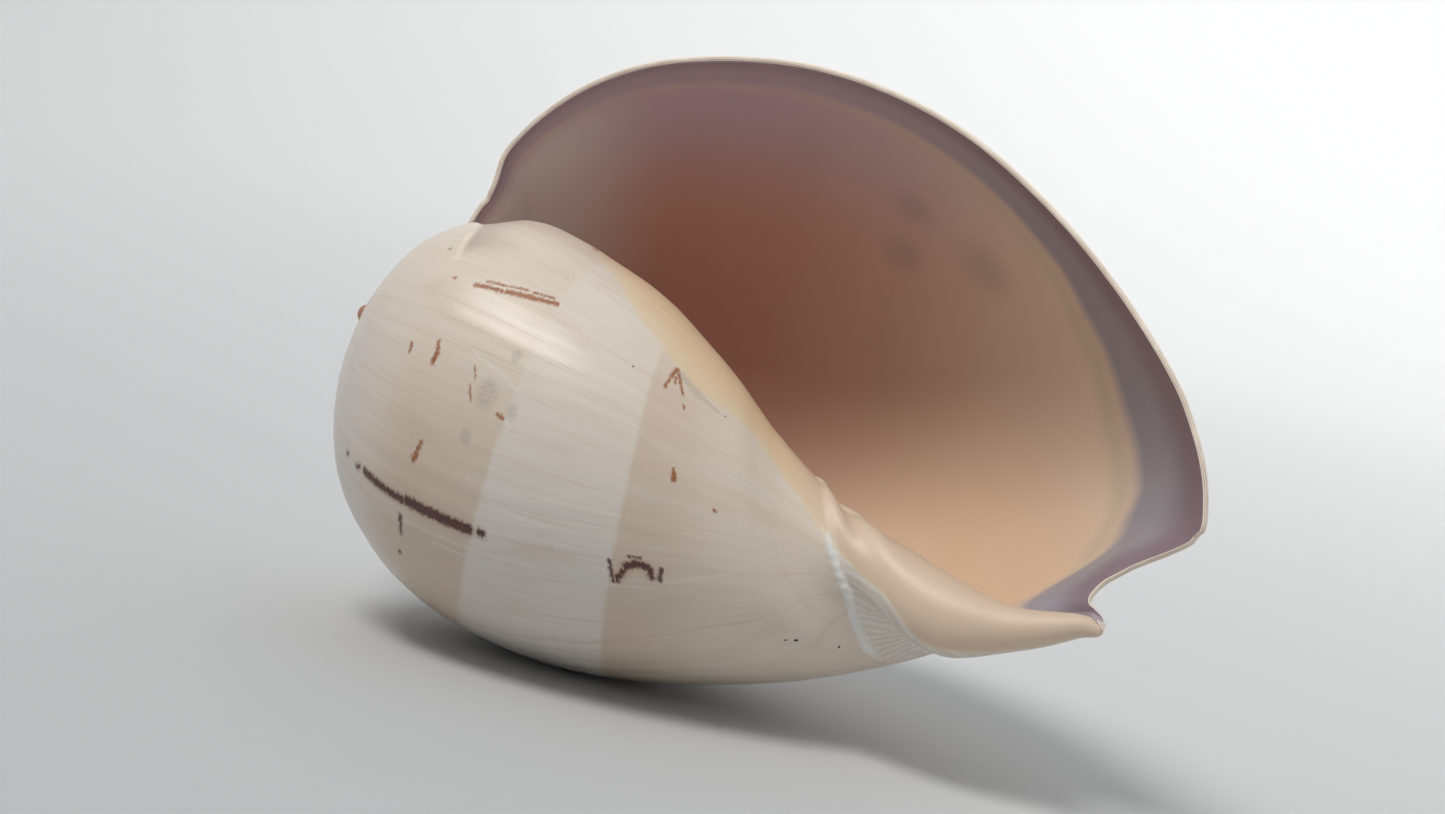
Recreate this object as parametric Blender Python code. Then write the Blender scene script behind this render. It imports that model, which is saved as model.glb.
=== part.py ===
# A melon shell: one coiled wall with a wide mouth, built from the growth of its lip.
# The coil axis runs from the nub at the hidden spire to the front tip. A turn is counted
# in radians back from the lip, so 0 is the lip and -2 pi is the wall of the body whorl
# straight under it.

import math

import bpy
import numpy as np

MILLIMETRE = 0.001

# The lip, from its end on the body to the front tip. Each point is how far along the
# coil axis it lies and how far out from it, in millimetres.
LIP_PROFILE = [
    (18.0, 23.2), (16.4, 32.4), (18.2, 43.4), (17.4, 51.6), (19.8, 59.0),
    (28.6, 73.0), (43.8, 86.2), (71.0, 97.6), (98.4, 102.0), (128.8, 99.4),
    (158.6, 89.2), (184.6, 75.4), (206.6, 57.8), (220.0, 38.4), (222.2, 30.6),
    (219.0, 15.6), (215.0, 7.2), (211.6, 3.0), (210.2, 0.0),
]
# The same places on the wall one whorl earlier.
BODY_PROFILE = [
    (18.0, 23.2), (17.4, 25.2), (17.6, 27.2), (18.4, 28.2), (20.8, 29.8),
    (25.4, 32.4), (32.6, 35.6), (40.4, 38.8), (51.8, 38.4), (61.8, 36.8),
    (72.0, 35.0), (81.0, 32.4), (91.6, 27.8), (102.4, 22.6), (107.8, 19.6),
    (112.0, 17.2), (117.8, 14.4), (125.4, 11.8), (133.0, 10.0),
]
WHORL_GROWTH = 2.9
SHOULDER_SWELL = 3.4
# The lip's end runs ahead onto the body.
SUTURE_LEAD = 0.05
# The notch at the lip's front end: how far it is cut back along the axis and in radians
# at the three profile points before the tip, and how fast it closes behind the lip.
NOTCH_CUT = (10.4, 10.8, 2.8)
NOTCH_LAG = (0.30, 0.35, 0.45)
NOTCH_FADE = 3.0

# The spire: how far out from the axis and how far along it.
SPIRE_PROFILE = [
    (0.0, -2.6), (1.5, -2.2), (2.6, -1.0), (3.4, 0.9), (6.6, 2.8), (11.4, 5.2),
    (17.4, 9.8), (23.2, 18.0),
]
# The pillar inside the coil: how far along the axis, its radius, and how far its middle
# lies off the axis towards the lip.
PILLAR_RADIUS = [
    (0.0, 0.0), (60.0, 9.0), (110.0, 13.2), (130.0, 10.2), (148.0, 8.4),
    (164.0, 9.6), (178.0, 8.8), (190.0, 5.8), (200.0, 4.2), (208.0, 2.4),
]
PILLAR_SHIFT = [(90.0, 0.0), (120.0, -0.2), (150.0, -6.0), (180.0, -9.4), (206.0, 2.0)]
PILLAR_SHIFT_REACH = 44.0
# Folds on the pillar where the lip's plane cuts it: place along the axis, height, and
# width behind and ahead of the crest.
FOLDS = [(123.6, 1.0, 3.4, 3.2), (135.0, 2.7, 4.4, 3.6), (146.2, 1.8, 5.0, 6.0)]
FOLD_SLANT = 0.072

# The share of the pillar's length over which its front end is rounded.
END_SHARE = 0.12

LIP_THICKNESS = 1.4
WALL_THICKNESS = 2.4
CAVITY_TURN = math.radians(300.0)

# Gaps that keep the cavity off the outside, at the suture and at the pillar's front end.
SUTURE_GAP = 3.0
TIP_GAP = 4.0

# How the shell lies: turns about the world axes, in degrees, one after the other.
REST_TURNS = [("X", -11.0), ("Y", 7.6)]
# The worn spot that it rests on: how far in it reaches from the lowest point.
FOOT_DEPTH = 0.8

TURN_ROWS = 60
CAVITY_ROWS = 32
PILLAR_COLUMNS = 15
LIP_COLUMN = 0.045

FULL_TURN = 2.0 * math.pi
GROWTH_RATE = math.log(WHORL_GROWTH) / FULL_TURN


def through(points, place):
    """Reads a smooth curve through (place, value) points."""
    knots = np.array([point[0] for point in points], float)
    values = np.array([point[1] for point in points], float)
    step = np.diff(knots)
    slope = np.diff(values) / step
    lean = np.empty(len(values))
    lean[1:-1] = (slope[:-1] * step[1:] + slope[1:] * step[:-1]) / (step[1:] + step[:-1])
    lean[0] = 1.5 * slope[0] - 0.5 * lean[1]
    lean[-1] = 1.5 * slope[-1] - 0.5 * lean[-2]
    part = np.clip(np.searchsorted(knots, place, side="right") - 1, 0, len(step) - 1)
    width = step[part]
    s = np.clip((place - knots[part]) / width, 0.0, 1.0)
    near = (1 + 2 * s) * (1 - s) ** 2 * values[part] + s * (1 - s) ** 2 * width * lean[part]
    far = s * s * (3 - 2 * s) * values[part + 1] + s * s * (s - 1) * width * lean[part + 1]
    return near + far


def ease(low, high, value):
    s = np.clip((value - low) / (high - low), 0.0, 1.0)
    return s * s * (3 - 2 * s)


def profile_steps():
    """Where each profile point lies between the lip's end, 0, and the tip, 1."""
    lip = np.hypot(*np.diff(np.array(LIP_PROFILE), axis=0).T)
    body = np.hypot(*np.diff(np.array(BODY_PROFILE), axis=0).T)
    run = np.concatenate([[0.0], np.cumsum(lip + body)])
    return run / run[-1]


STEPS = profile_steps()


def along_profile(profile, axis, step):
    return through([(s, point[axis]) for s, point in zip(STEPS, profile)], step)


def notch_part(sizes, step):
    values = [0.0] * (len(STEPS) - 4) + list(sizes) + [0.0]
    return through(list(zip(STEPS, values)), step)


def wall_row(turn, step):
    """Place along the axis, distance from it and angle about it, of the whorl wall."""
    grown = np.exp(GROWTH_RATE * np.maximum(turn, -FULL_TURN))
    grown = (grown - 1 / WHORL_GROWTH) / (1 - 1 / WHORL_GROWTH)
    shrunk = np.exp(GROWTH_RATE * np.minimum(turn + FULL_TURN, 0.0))
    body = along_profile(BODY_PROFILE, 0, step)
    along = body + (along_profile(LIP_PROFILE, 0, step) - body) * grown
    body = along_profile(BODY_PROFILE, 1, step)
    out = body + (along_profile(LIP_PROFILE, 1, step) - body) * grown
    midway = np.sin(np.clip(-turn / FULL_TURN, 0, 1) * math.pi) ** 2
    shoulder = np.sin(math.pi * np.clip(step / 0.4, 0, 1)) ** 2
    along = along - SHOULDER_SWELL * midway * shoulder
    notch = grown ** NOTCH_FADE
    along = along - notch_part(NOTCH_CUT, step) * notch
    angle = turn - notch_part(NOTCH_LAG, step) * notch
    angle = angle + SUTURE_LEAD * (1 - ease(0.0, STEPS[1], step))
    return along * shrunk, out * shrunk, angle


def fold_height(along, angle):
    height = 0.0
    fade = 1 - ease(-FULL_TURN + 0.3, -FULL_TURN + 1.5, angle)
    for place, high, rise, fall in FOLDS:
        past = along - place * np.exp(FOLD_SLANT * (angle + FULL_TURN))
        height = height + high * np.exp(-((past / np.where(past < 0, rise, fall)) ** 2))
    return height * fade


def pillar_radius(along, angle):
    return through(PILLAR_RADIUS, along) + fold_height(along, angle)


def set_in_space(along, out, angle):
    shift = through(PILLAR_SHIFT, np.clip(along, PILLAR_SHIFT[0][0], PILLAR_SHIFT[-1][0]))
    shift = shift * np.exp(-((out / PILLAR_SHIFT_REACH) ** 2))
    return np.stack([along + 0 * angle, -out * np.sin(angle), out * np.cos(angle) + shift], -1)


def wall(turn, step):
    return set_in_space(*wall_row(turn, step))


def spire(turn, step):
    out = step * SPIRE_PROFILE[-1][0] + 0 * turn
    return set_in_space(through(SPIRE_PROFILE, out), out, turn + SUTURE_LEAD * ease(0, 1, step))


def pillar(start_turn, end, end_out, step):
    """The pillar from where the wall of start_turn meets it to the place called end."""
    along, out, angle = wall_row(start_turn, np.array([[1.0]]))
    place = along + (end - along) * step
    radius = pillar_radius(place, angle)
    radius = radius + (out - pillar_radius(along, angle)) * (1 - ease(0.0, 0.4, step))
    rounded = np.sqrt(1 - np.clip((step - 1 + END_SHARE) / END_SHARE, 0, 1) ** 2)
    radius = end_out + (radius - end_out) * rounded
    return set_in_space(place, radius, angle + 0 * step)


def wall_inside(turn, step):
    """The inner face of the wall: the outer one moved in by the wall's thickness."""
    small = 1e-4
    across = wall(turn, np.clip(step + small, 0, 1)) - wall(turn, np.clip(step - small, 0, 1))
    onward = wall(turn + small, step) - wall(turn - small, step)
    inward = np.cross(across, onward)
    inward /= np.linalg.norm(inward, axis=-1, keepdims=True)
    back = 1 - np.exp(turn / 0.6)
    thick = LIP_THICKNESS + (WALL_THICKNESS - LIP_THICKNESS) * back
    ends = ease(0.0, STEPS[1], step) * (1 - ease(STEPS[-3], 1.0, step))
    ends = ends + (1 - ends) * back
    return wall(turn, step) + inward * (thick * ends)[..., None]


def inner_wall(turn, step):
    """The whorl inside the cavity: the wall one whorl earlier than turn."""
    along, out, angle = wall_row(turn - FULL_TURN, step)
    back = 1 - np.exp(turn / 0.6)
    along = along + SUTURE_GAP * back * (1 - ease(0.0, STEPS[4], step))
    return set_in_space(along, out, angle)


def column_steps():
    steps = [0.0]
    for start, end in zip(STEPS[:-1], STEPS[1:]):
        parts = max(1, round((end - start) / LIP_COLUMN))
        steps += [start + (end - start) * (part + 1) / parts for part in range(parts)]
    return np.array([steps])


def add_face(faces, corners):
    """Adds a face, leaving out corners that share a point."""
    kept = [a for a, b in zip(corners, corners[1:] + corners[:1]) if a != b]
    if len(set(kept)) > 2:
        faces.append(kept)


def add_strip(faces, first, second):
    """Joins two rows of points that have the same number of columns."""
    for column in range(len(first) - 1):
        add_face(faces, [first[column], second[column], second[column + 1], first[column + 1]])


def close_end(faces, points, outer, inner):
    """Closes the crescent between two rows that share both ends."""
    spots = [np.cumsum([0.0] + [math.dist(points[a], points[b]) for a, b in zip(row, row[1:])])
             for row in (outer, inner)]
    spots = [list(spot / spot[-1]) for spot in spots]
    one = two = 0
    while one < len(outer) - 1 or two < len(inner) - 1:
        left = spots[0][one + 1] if one < len(outer) - 1 else 9.0
        right = spots[1][two + 1] if two < len(inner) - 1 else 9.0
        if left < right:
            add_face(faces, [outer[one], inner[two], outer[one + 1]])
            one += 1
        else:
            add_face(faces, [outer[one], inner[two], inner[two + 1]])
            two += 1


def shell_surface():
    points = []
    faces = []

    def add(place):
        points.append(np.ravel(place))
        return len(points) - 1

    steps = column_steps()
    spire_steps = np.array([[place[0] for place in SPIRE_PROFILE[:-1]]]) / SPIRE_PROFILE[-1][0]
    even = np.linspace(0, 1, PILLAR_COLUMNS + 1)[None, 1:]
    pillar_steps = even / 2 + (1 - np.cos(math.pi * even)) / 4
    tip_along = LIP_PROFILE[-1][0]
    turns = np.linspace(-FULL_TURN, 0.0, TURN_ROWS + 1)
    outside = []
    for turn in turns[:-1]:
        turn = np.array([[turn]])
        outside.append(np.concatenate([
            spire(turn, spire_steps), wall(turn, steps), pillar(turn, tip_along, 0.0, pillar_steps),
        ], 1)[0])
    nub = add(outside[0][0])
    tip = add(outside[0][-1])
    rows = [[nub] + [add(place) for place in row[1:-1]] + [tip] for row in outside]
    first = spire_steps.shape[1]
    last = first + steps.shape[1] - 1
    lip = wall(np.array([[0.0]]), steps)[0]
    lip_row = rows[0][:first + 1] + [add(place) for place in lip[1:-1]]
    lip_row = lip_row + [tip] * (len(rows[0]) - len(lip_row))
    rows.append(lip_row)
    for one, two in zip(rows[:-1], rows[1:]):
        add_strip(faces, one, two)

    edge = wall_inside(np.array([[0.0]]), steps)[0]
    outer = [rows[0][first]] + [add(place) for place in edge[1:-1]] + [tip]
    inner = rows[0][first:]
    add_strip(faces, lip_row[first:last + 1], outer)
    for turn in np.linspace(0.0, -CAVITY_TURN, CAVITY_ROWS + 1)[1:]:
        turn = np.array([[turn]])
        back = 1 - math.exp(turn[0, 0] / 0.3)
        end = wall_row(turn, np.array([[1.0]]))[0] - TIP_GAP * back
        whorl = inner_wall(turn, steps)
        end_out = pillar_radius(end, turn - FULL_TURN)
        pillar_part = pillar(turn - FULL_TURN, end, end_out, pillar_steps)
        next_inner = [add(place) for place in np.concatenate([whorl, pillar_part], 1)[0]]
        wall_part = wall_inside(turn, steps)[0]
        next_outer = [next_inner[0]] + [add(place) for place in wall_part[1:-1]] + [next_inner[-1]]
        add_strip(faces, outer, next_outer)
        add_strip(faces, next_inner, inner)
        outer, inner = next_outer, next_inner
    close_end(faces, points, outer, inner)
    return np.array(points), faces


def lay_down(points):
    """Turns the shell from its coil axis to how it lies, mouth up."""
    for axis, angle in REST_TURNS:
        c, s = math.cos(math.radians(angle)), math.sin(math.radians(angle))
        one, two = {"X": (1, 2), "Y": (2, 0), "Z": (0, 1)}[axis]
        turned = points.copy()
        turned[:, one] = c * points[:, one] - s * points[:, two]
        turned[:, two] = s * points[:, one] + c * points[:, two]
        points = turned
    points[:, 2] -= points[:, 2].min() + FOOT_DEPTH
    points[:, 2] = np.maximum(points[:, 2], 0.0)
    points[:, :2] -= (points[:, :2].min(axis=0) + points[:, :2].max(axis=0)) / 2
    return points


def main():
    for item in list(bpy.data.objects):
        bpy.data.objects.remove(item)
    points, faces = shell_surface()
    points = lay_down(points) * MILLIMETRE
    mesh = bpy.data.meshes.new("shell")
    mesh.from_pydata(points.tolist(), [], faces)
    shell = bpy.data.objects.new("shell", mesh)
    bpy.context.scene.collection.objects.link(shell)
    glaze = bpy.data.materials.new("shell_glaze")
    glaze.use_nodes = True
    surface = glaze.node_tree.nodes["Principled BSDF"]
    surface.inputs["Base Color"].default_value = (0.72, 0.60, 0.50, 1.0)
    surface.inputs["Roughness"].default_value = 0.3
    mesh.materials.append(glaze)
    mesh.shade_smooth()
    mesh.set_sharp_from_angle(angle=math.radians(50))


main()
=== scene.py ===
import math

import bpy
import numpy as np
from mathutils import Matrix, Vector


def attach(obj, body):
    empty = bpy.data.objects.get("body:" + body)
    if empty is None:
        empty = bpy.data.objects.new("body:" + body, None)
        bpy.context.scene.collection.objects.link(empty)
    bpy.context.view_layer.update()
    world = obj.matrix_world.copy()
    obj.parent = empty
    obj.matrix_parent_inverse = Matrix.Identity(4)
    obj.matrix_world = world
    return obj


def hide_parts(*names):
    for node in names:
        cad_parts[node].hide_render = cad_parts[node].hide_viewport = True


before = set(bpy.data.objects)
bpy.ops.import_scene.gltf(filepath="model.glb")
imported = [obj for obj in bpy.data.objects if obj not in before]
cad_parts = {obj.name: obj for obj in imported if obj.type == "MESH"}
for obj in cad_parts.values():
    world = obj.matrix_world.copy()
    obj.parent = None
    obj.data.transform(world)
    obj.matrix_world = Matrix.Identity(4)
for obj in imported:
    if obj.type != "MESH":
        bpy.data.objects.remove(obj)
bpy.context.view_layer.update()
print("frame loaded")

# Lengths in the shell's own values are millimetres, along or out from the coil axis.
# turn is counted in radians back from the lip, step from the suture, 0, to the front tip, 1.
shellForm = {
    "lipProfile": [
        (18.0, 23.2), (16.4, 32.4), (18.2, 43.4), (17.4, 51.6), (19.8, 59.0),
        (28.6, 73.0), (43.8, 86.2), (71.0, 97.6), (98.4, 102.0), (128.8, 99.4),
        (158.6, 89.2), (184.6, 75.4), (206.6, 57.8), (220.0, 38.4), (222.2, 30.6),
        (219.0, 15.6), (215.0, 7.2), (211.6, 3.0), (210.2, 0.0),
    ],
    "bodyProfile": [
        (18.0, 23.2), (17.4, 25.2), (17.6, 27.2), (18.4, 28.2), (20.8, 29.8),
        (25.4, 32.4), (32.6, 35.6), (40.4, 38.8), (51.8, 38.4), (61.8, 36.8),
        (72.0, 35.0), (81.0, 32.4), (91.6, 27.8), (101.0, 23.3), (104.8, 21.3),
        (111.4, 17.6), (117.8, 14.4), (125.4, 11.8), (133.0, 10.0),
    ],
    "whorlGrowth": 2.9,
    "shoulderSwell": 3.4,
    "sutureLead": 0.05,
    "notchCut": (10.4, 10.8, 2.8),
    "notchLag": (0.30, 0.35, 0.45),
    "notchFade": 3.0,
    "spireProfile": [
        (0.0, -2.6), (1.5, -2.2), (2.6, -1.0), (3.4, 0.9), (6.6, 2.8), (11.4, 5.2),
        (17.4, 9.8), (23.2, 18.0),
    ],
    "pillarRadius": [
        (0.0, 0.0), (60.0, 9.0), (110.0, 13.2), (130.0, 10.2), (148.0, 8.4),
        (164.0, 9.6), (178.0, 8.8), (190.0, 5.8), (200.0, 4.2), (208.0, 2.4),
    ],
    "pillarShift": [(90.0, 0.0), (120.0, -0.2), (150.0, -6.0), (180.0, -9.4), (206.0, 2.0)],
    "pillarShiftReach": 44.0,
    "folds": [(123.6, 1.0, 3.4, 3.2), (135.0, 2.7, 4.4, 3.6), (146.2, 1.8, 5.0, 6.0)],
    "foldSlant": 0.072,
    "endShare": 0.12,
    "lipThickness": 1.4,
    "wallThickness": 2.4,
    "cavityTurn": math.radians(300.0),
    "sutureGap": 3.0,
    "sutureCover": 1.2,
    "tipGap": 4.0,
    "endWall": 1.5,
    "endLeast": 0.4,
    "thickeningTurn": 0.6,
    "tipTurn": 0.3,
}
# How the shell lies, the same as its solid: turns in degrees, then a move in millimetres.
shellRest = {
    "turns": [("X", -11.0), ("Y", 7.6)],
    "move": (-110.902, -15.999, 73.301),
}
shellDetail = {
    "turnRows": 216,
    "cavityRows": 104,
    "lipColumns": 190,
    "spireColumns": 26,
    "pillarColumns": 34,
    "edgeRows": 6,
    "edgeRound": 0.35,
    "sutureDepth": 0.55,
    "sutureWidth": 0.8,
    "rippleHeight": 0.07,
}

fullTurn = 2.0 * math.pi
growthRate = math.log(shellForm["whorlGrowth"]) / fullTurn


def through(points, place):
    knots = np.array([point[0] for point in points], float)
    values = np.array([point[1] for point in points], float)
    step = np.diff(knots)
    slope = np.diff(values) / step
    lean = np.empty(len(values))
    lean[1:-1] = (slope[:-1] * step[1:] + slope[1:] * step[:-1]) / (step[1:] + step[:-1])
    lean[0] = 1.5 * slope[0] - 0.5 * lean[1]
    lean[-1] = 1.5 * slope[-1] - 0.5 * lean[-2]
    part = np.clip(np.searchsorted(knots, place, side="right") - 1, 0, len(step) - 1)
    width = step[part]
    s = np.clip((place - knots[part]) / width, 0.0, 1.0)
    near = (1 + 2 * s) * (1 - s) ** 2 * values[part] + s * (1 - s) ** 2 * width * lean[part]
    far = s * s * (3 - 2 * s) * values[part + 1] + s * s * (s - 1) * width * lean[part + 1]
    return near + far


def ease(low, high, value):
    s = np.clip((value - low) / (high - low), 0.0, 1.0)
    return s * s * (3 - 2 * s)


def bell(offset, width):
    return np.exp(-((offset / width) ** 2))


def profileSteps():
    lip = np.hypot(*np.diff(np.array(shellForm["lipProfile"]), axis=0).T)
    body = np.hypot(*np.diff(np.array(shellForm["bodyProfile"]), axis=0).T)
    run = np.concatenate([[0.0], np.cumsum(lip + body)])
    return run / run[-1]


steps = profileSteps()


def alongProfile(name, axis, step):
    return through([(s, point[axis]) for s, point in zip(steps, shellForm[name])], step)


def notchPart(name, step):
    values = [0.0] * (len(steps) - 4) + list(shellForm[name]) + [0.0]
    return through(list(zip(steps, values)), step)


def wallRow(turn, step):
    growth = shellForm["whorlGrowth"]
    grown = np.exp(growthRate * np.maximum(turn, -fullTurn))
    grown = (grown - 1 / growth) / (1 - 1 / growth)
    shrunk = np.exp(growthRate * np.minimum(turn + fullTurn, 0.0))
    body = alongProfile("bodyProfile", 0, step)
    along = body + (alongProfile("lipProfile", 0, step) - body) * grown
    body = alongProfile("bodyProfile", 1, step)
    out = body + (alongProfile("lipProfile", 1, step) - body) * grown
    midway = np.sin(np.clip(-turn / fullTurn, 0, 1) * math.pi) ** 2
    shoulder = np.sin(math.pi * np.clip(step / 0.4, 0, 1)) ** 2
    along = along - shellForm["shoulderSwell"] * midway * shoulder
    notch = grown ** shellForm["notchFade"]
    along = along - notchPart("notchCut", step) * notch
    angle = turn - notchPart("notchLag", step) * notch
    angle = angle + shellForm["sutureLead"] * (1 - ease(0.0, steps[1], step))
    return along * shrunk, out * shrunk, angle


def foldHeight(along, angle):
    height = 0.0
    fade = 1 - ease(-fullTurn + 0.3, -fullTurn + 1.5, angle)
    for place, high, rise, fall in shellForm["folds"]:
        past = along - place * np.exp(shellForm["foldSlant"] * (angle + fullTurn))
        height = height + high * bell(past, np.where(past < 0, rise, fall))
    return height * fade


def pillarRadius(along, angle):
    return through(shellForm["pillarRadius"], along) + foldHeight(along, angle)


def setInSpace(along, out, angle):
    shiftPoints = shellForm["pillarShift"]
    shift = through(shiftPoints, np.clip(along, shiftPoints[0][0], shiftPoints[-1][0]))
    shift = shift * bell(out, shellForm["pillarShiftReach"])
    return np.stack([along + 0 * angle, -out * np.sin(angle), out * np.cos(angle) + shift], -1)


def wall(turn, step):
    return setInSpace(*wallRow(turn, step))


# Growth lines that can be felt: low, uneven ripples that follow the lip's old places.
def ripple(turn, step):
    wander = 0.02 * np.sin(9.0 * step + 2.0) + 0.012 * np.sin(23.0 * step)
    place = turn + wander
    waves = np.sin(61.0 * place) * (0.6 + 0.4 * np.sin(7.3 * place))
    waves = waves + 0.6 * np.sin(97.0 * place + 1.3) + 0.5 * np.sin(37.0 * place + 0.4)
    ends = ease(0.0, 0.2, step) * (1 - ease(0.6, 0.98, step))
    return shellDetail["rippleHeight"] * waves * ends * (1 - ease(-0.05, 0.0, turn))


def outward(place, turn, step):
    small = 1e-4
    across = place(turn, np.clip(step + small, 0, 1)) - place(turn, np.clip(step - small, 0, 1))
    onward = place(turn + small, step) - place(turn - small, step)
    normal = np.cross(onward, across)
    return normal / np.maximum(np.linalg.norm(normal, axis=-1, keepdims=True), 1e-12)


def outerWall(turn, step):
    return wall(turn, step) + outward(wall, turn, step) * ripple(turn, step)[..., None]


def spireCap(turn, step):
    form = shellForm["spireProfile"]
    out = step * form[-1][0] + 0 * turn
    along = through(form, out)
    for back in (0.0, 1.0, 2.0):
        groove = form[-1][0] * np.exp(growthRate * (turn - back * fullTurn))
        width = shellDetail["sutureWidth"] * (0.35 + 0.65 * groove / form[-1][0])
        deep = shellDetail["sutureDepth"] * ease(1.5, 8.0, groove)
        along = along + deep * bell(out - groove, width) * (1 - ease(22.0, 23.2, out))
    return setInSpace(along, out, turn + shellForm["sutureLead"] * ease(0, 1, step))


def pillar(startTurn, end, endOut, step):
    along, out, angle = wallRow(startTurn, np.array([[1.0]]))
    place = along + (end - along) * step
    radius = pillarRadius(place, angle)
    radius = radius + (out - pillarRadius(along, angle)) * (1 - ease(0.0, 0.4, step))
    share = shellForm["endShare"]
    rounded = np.sqrt(1 - np.clip((step - 1 + share) / share, 0, 1) ** 2)
    radius = endOut + (radius - endOut) * rounded
    return setInSpace(place, radius, angle + 0 * step)


# How far a place is from the lip, from 0 at it to 1 deep inside.
def fromLip(turn, reach):
    return 1 - np.exp(turn / reach)


def wallInside(turn, step):
    back = fromLip(turn, shellForm["thickeningTurn"])
    thick = shellForm["lipThickness"]
    thick = thick + (shellForm["wallThickness"] - thick) * back
    ends = ease(0.0, steps[1], step) * (1 - ease(steps[-3], 1.0, step))
    ends = ends + (1 - ends) * back
    return wall(turn, step) - outward(wall, turn, step) * (thick * ends)[..., None]


# Where the outside lies along the axis, at distances out from it near the suture.
def coverAlong(turn, out):
    capOut, capAlong = np.array(shellForm["spireProfile"]).T
    wallAlong, wallOut, _ = wallRow(turn, np.linspace(0.0, steps[4], 40)[None, 1:])
    fine = np.linspace(0.0, capOut[-1], 80)
    cap = through(list(zip(capOut, capAlong)), fine)
    return np.interp(out, np.append(fine, wallOut), np.append(cap, wallAlong))


# The whorl inside the mouth, kept under the outside where the two meet at the suture.
def innerWall(turn, step):
    along, out, angle = wallRow(turn - fullTurn, step)
    back = fromLip(turn, shellForm["thickeningTurn"])
    along = along + shellForm["sutureGap"] * back * (1 - ease(0.0, steps[4], step))
    under = coverAlong(turn, out) + shellForm["sutureCover"] * back
    along = np.where(step < steps[5], np.maximum(along, under), along)
    return setInSpace(along, out, angle)


# Relief that is laid on the outside along a path of places (share of a whorl, step).
ridgeForm = {
    "path": [
        (-0.86, 0.999), (-0.807, 0.9975), (-0.705, 0.9969), (-0.62, 0.988), (-0.549, 0.973),
        (-0.50, 0.949), (-0.455, 0.920), (-0.43, 0.893), (-0.405, 0.871), (-0.37, 0.852),
    ],
    "height": 0.75,
    "width": 1.25,
    "spread": 3.6,
    "ends": (12.0, 14.0),
}
lipEndForm = {
    "path": [
        (-0.985, 0.03), (-0.96, 0.10), (-0.93, 0.165), (-0.901, 0.2096), (-0.868, 0.2417),
        (-0.845, 0.259), (-0.832, 0.266),
    ],
    "height": 0.8,
    "drop": 0.7,
    "reach": 11.0,
    # How far the painted shade beside the lip's end reaches, in millimetres.
    "shade": 9.0,
    "ends": (2.0, 9.0),
}
# Nicks in the lip's edge: the step where each lies, half its width as a step, its depth.
lipNicks = [
    (0.0478, 0.0016, 1.1), (0.0445, 0.0010, 0.5), (0.8590, 0.0022, 0.9), (0.8632, 0.0016, 0.7),
    (0.3120, 0.0030, 0.25), (0.6400, 0.0040, 0.3), (0.7300, 0.0025, 0.2),
]


def skinPlace(share, step):
    if step <= 1:
        return wall(np.array([[share * fullTurn]]), np.array([[step]]))[0, 0]
    tipAlong = shellForm["lipProfile"][-1][0]
    return pillar(np.array([[share * fullTurn]]), tipAlong, 0.0, np.array([[step - 1.0]]))[0, 0]


# The path as a dense line in space, with how far along it each of its points lies.
def pathLine(path):
    share, step = np.array(path).T
    place = np.linspace(0, len(path) - 1, 20 * (len(path) - 1) + 1)
    knots = np.arange(len(path), dtype=float)
    line = [skinPlace(a, b) for a, b in zip(through(list(zip(knots, share)), place),
                                            through(list(zip(knots, step)), place))]
    line = np.array(line)
    run = np.concatenate([[0.0], np.cumsum(np.linalg.norm(np.diff(line, axis=0), axis=1))])
    return line, run


# How far each point lies from the path and how far along it is the nearest spot.
def fromPath(points, path):
    line, run = pathLine(path)
    away = np.full(len(points), 1e9)
    along = np.zeros(len(points))
    for spot, at in zip(line, run):
        gap = np.linalg.norm(points - spot, axis=1)
        along = np.where(gap < away, at, along)
        away = np.minimum(away, gap)
    return away, along, run[-1]


def endsFade(along, length, ends):
    return ease(0.0, ends[0], along) * (1 - ease(length - ends[1], length, along))


def ridgeRelief(points):
    away, along, length = fromPath(points, ridgeForm["path"])
    fade = endsFade(along, length, ridgeForm["ends"])
    crest = bell(away, ridgeForm["width"]) * (0.8 + 0.2 * np.sin(2.3 * along))
    foot = 0.35 * bell(away, ridgeForm["spread"])
    return ridgeForm["height"] * (crest + foot) * fade, away, along, bell(away, 1.5) * fade


def lipEndRelief(points, places):
    form = lipEndForm
    away, along, length = fromPath(points, form["path"])
    shares, steps = np.array(form["path"]).T
    under = np.interp(places[:, 0], shares, steps) - places[:, 1]
    raised = np.where(under > 0, bell(away, form["reach"]), bell(away, form["drop"]))
    fade = endsFade(along, length, form["ends"])
    film = bell(away, 0.75) * ease(3.0, 10.0, along)
    # shade is painted shade on the body beside the lip's end, where the lip's inner face and its
    # shadow lie.
    shade = bell(away, form["shade"]) * (under < 0) * (1 - ease(0.86 * length, length, along))
    return form["height"] * raised * fade, film, shade


# How far the lip's edge is worn back at each step, in millimetres.
def lipWear(step):
    wear = 0.10 * np.sin(61.0 * step) * np.sin(23.0 * step + 1.0) + 0.06 * np.sin(173.0 * step)
    wear = np.maximum(wear, 0.0) * ease(0.03, 0.06, step) * (1 - ease(0.93, 0.97, step))
    for place, half, deep in lipNicks:
        wear = wear + deep * bell(step - place, half)
    return wear


# Columns along the lip: more of them where its outline bends.
def columnSteps():
    fine = np.linspace(0.0, 1.0, 4001)
    weight = 1.0 + 2.5 * bell(fine, 0.08) + 3.0 * bell(fine - 0.93, 0.07)
    run = np.concatenate([[0.0], np.cumsum((weight[1:] + weight[:-1]) / 2)])
    return np.interp(np.linspace(0, run[-1], shellDetail["lipColumns"] + 1), run, fine)[None, :]


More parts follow.
